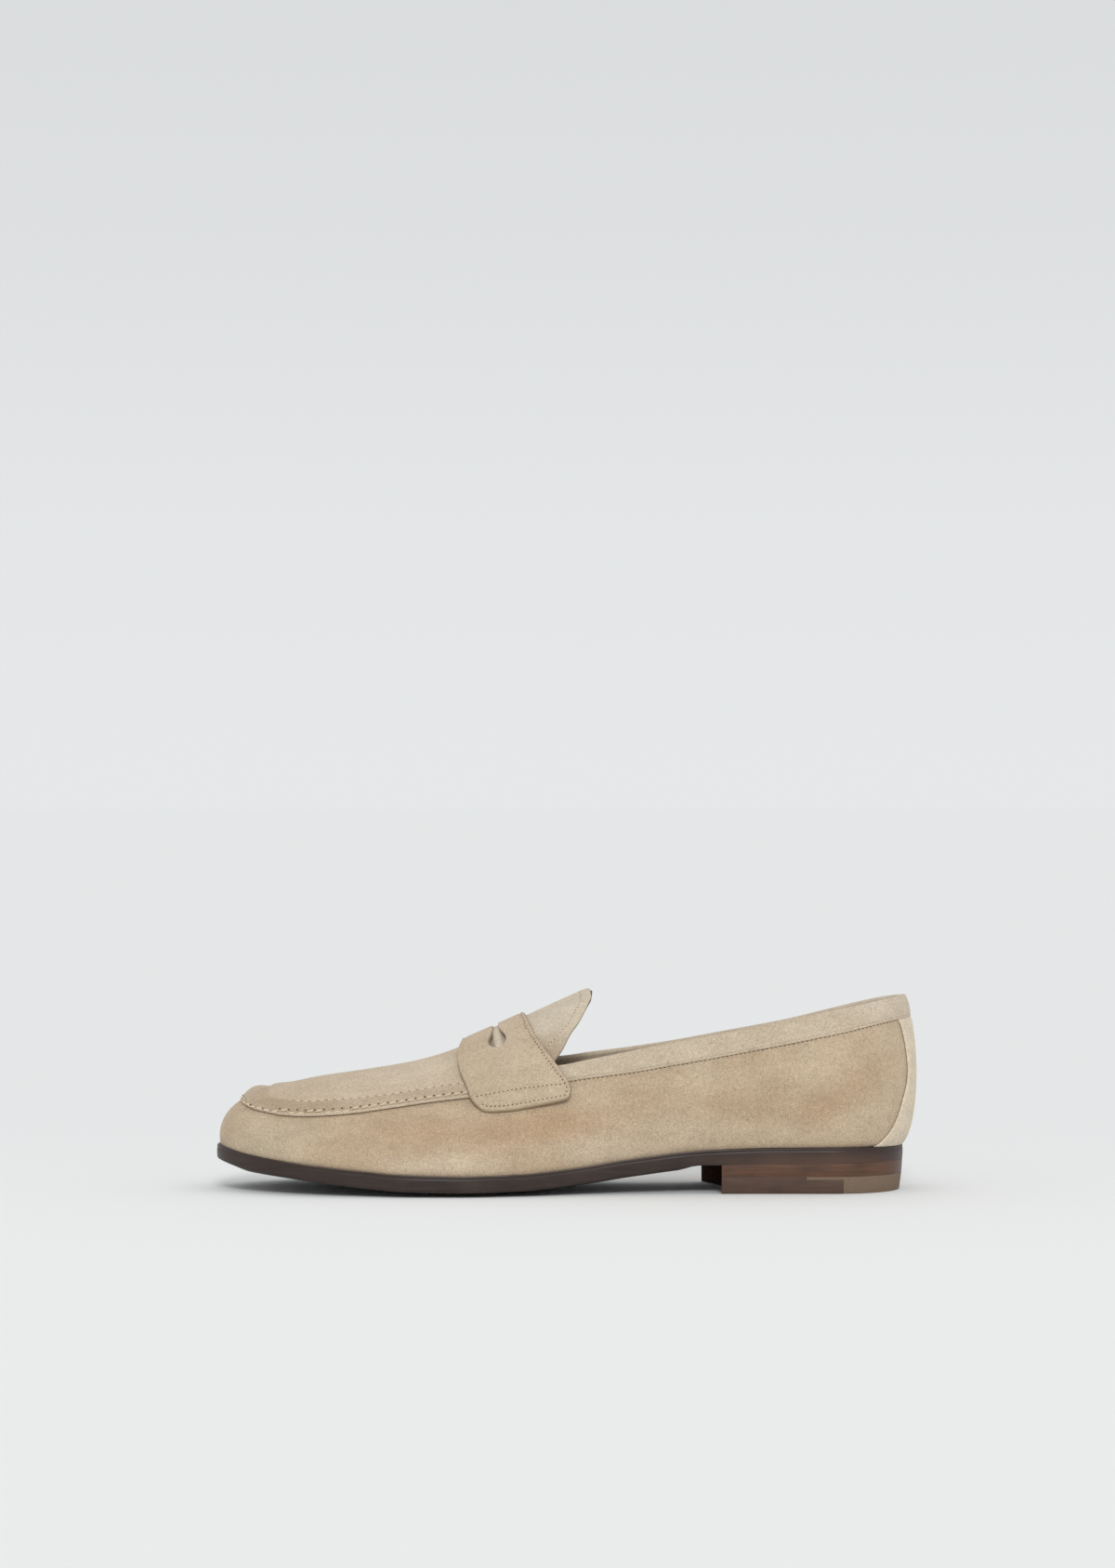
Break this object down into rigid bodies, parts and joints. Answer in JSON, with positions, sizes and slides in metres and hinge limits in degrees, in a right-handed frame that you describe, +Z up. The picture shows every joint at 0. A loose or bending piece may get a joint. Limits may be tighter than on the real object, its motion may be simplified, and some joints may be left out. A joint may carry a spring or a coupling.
{
  "type": "suede penny loafer",
  "caption": "Left penny loafer in beige suede with moccasin apron, saddle strap, leather sole and low stacked heel",
  "frame": {"origin": "middle of the shoe's box, on the floor that it stands on", "axes": "+X to the heel, -X to the toe, -Y to the outer (lateral) side, +Z up"},
  "size_m": [0.2979, 0.1008, 0.0859],
  "materials": {
    "suede": "matte beige suede with a short nap",
    "sole_leather": "dark brown sole leather, satin edge",
    "heel_leather": "reddish brown stacked leather, satin edge",
    "heel_rubber": "matte taupe rubber",
    "sock_leather": "smooth taupe lining leather"
  },
  "bodies": {
    "root": {"outsole": "sole_leather", "heel_lift": "heel_leather", "heel_top_piece": "sole_leather", "heel_rubber_tip": "heel_rubber", "insole": "sock_leather", "upper": "suede", "apron": "suede", "tongue": "suede", "saddle_strap": "suede", "heel_strip": "suede"}
  },
  "joints": []
}
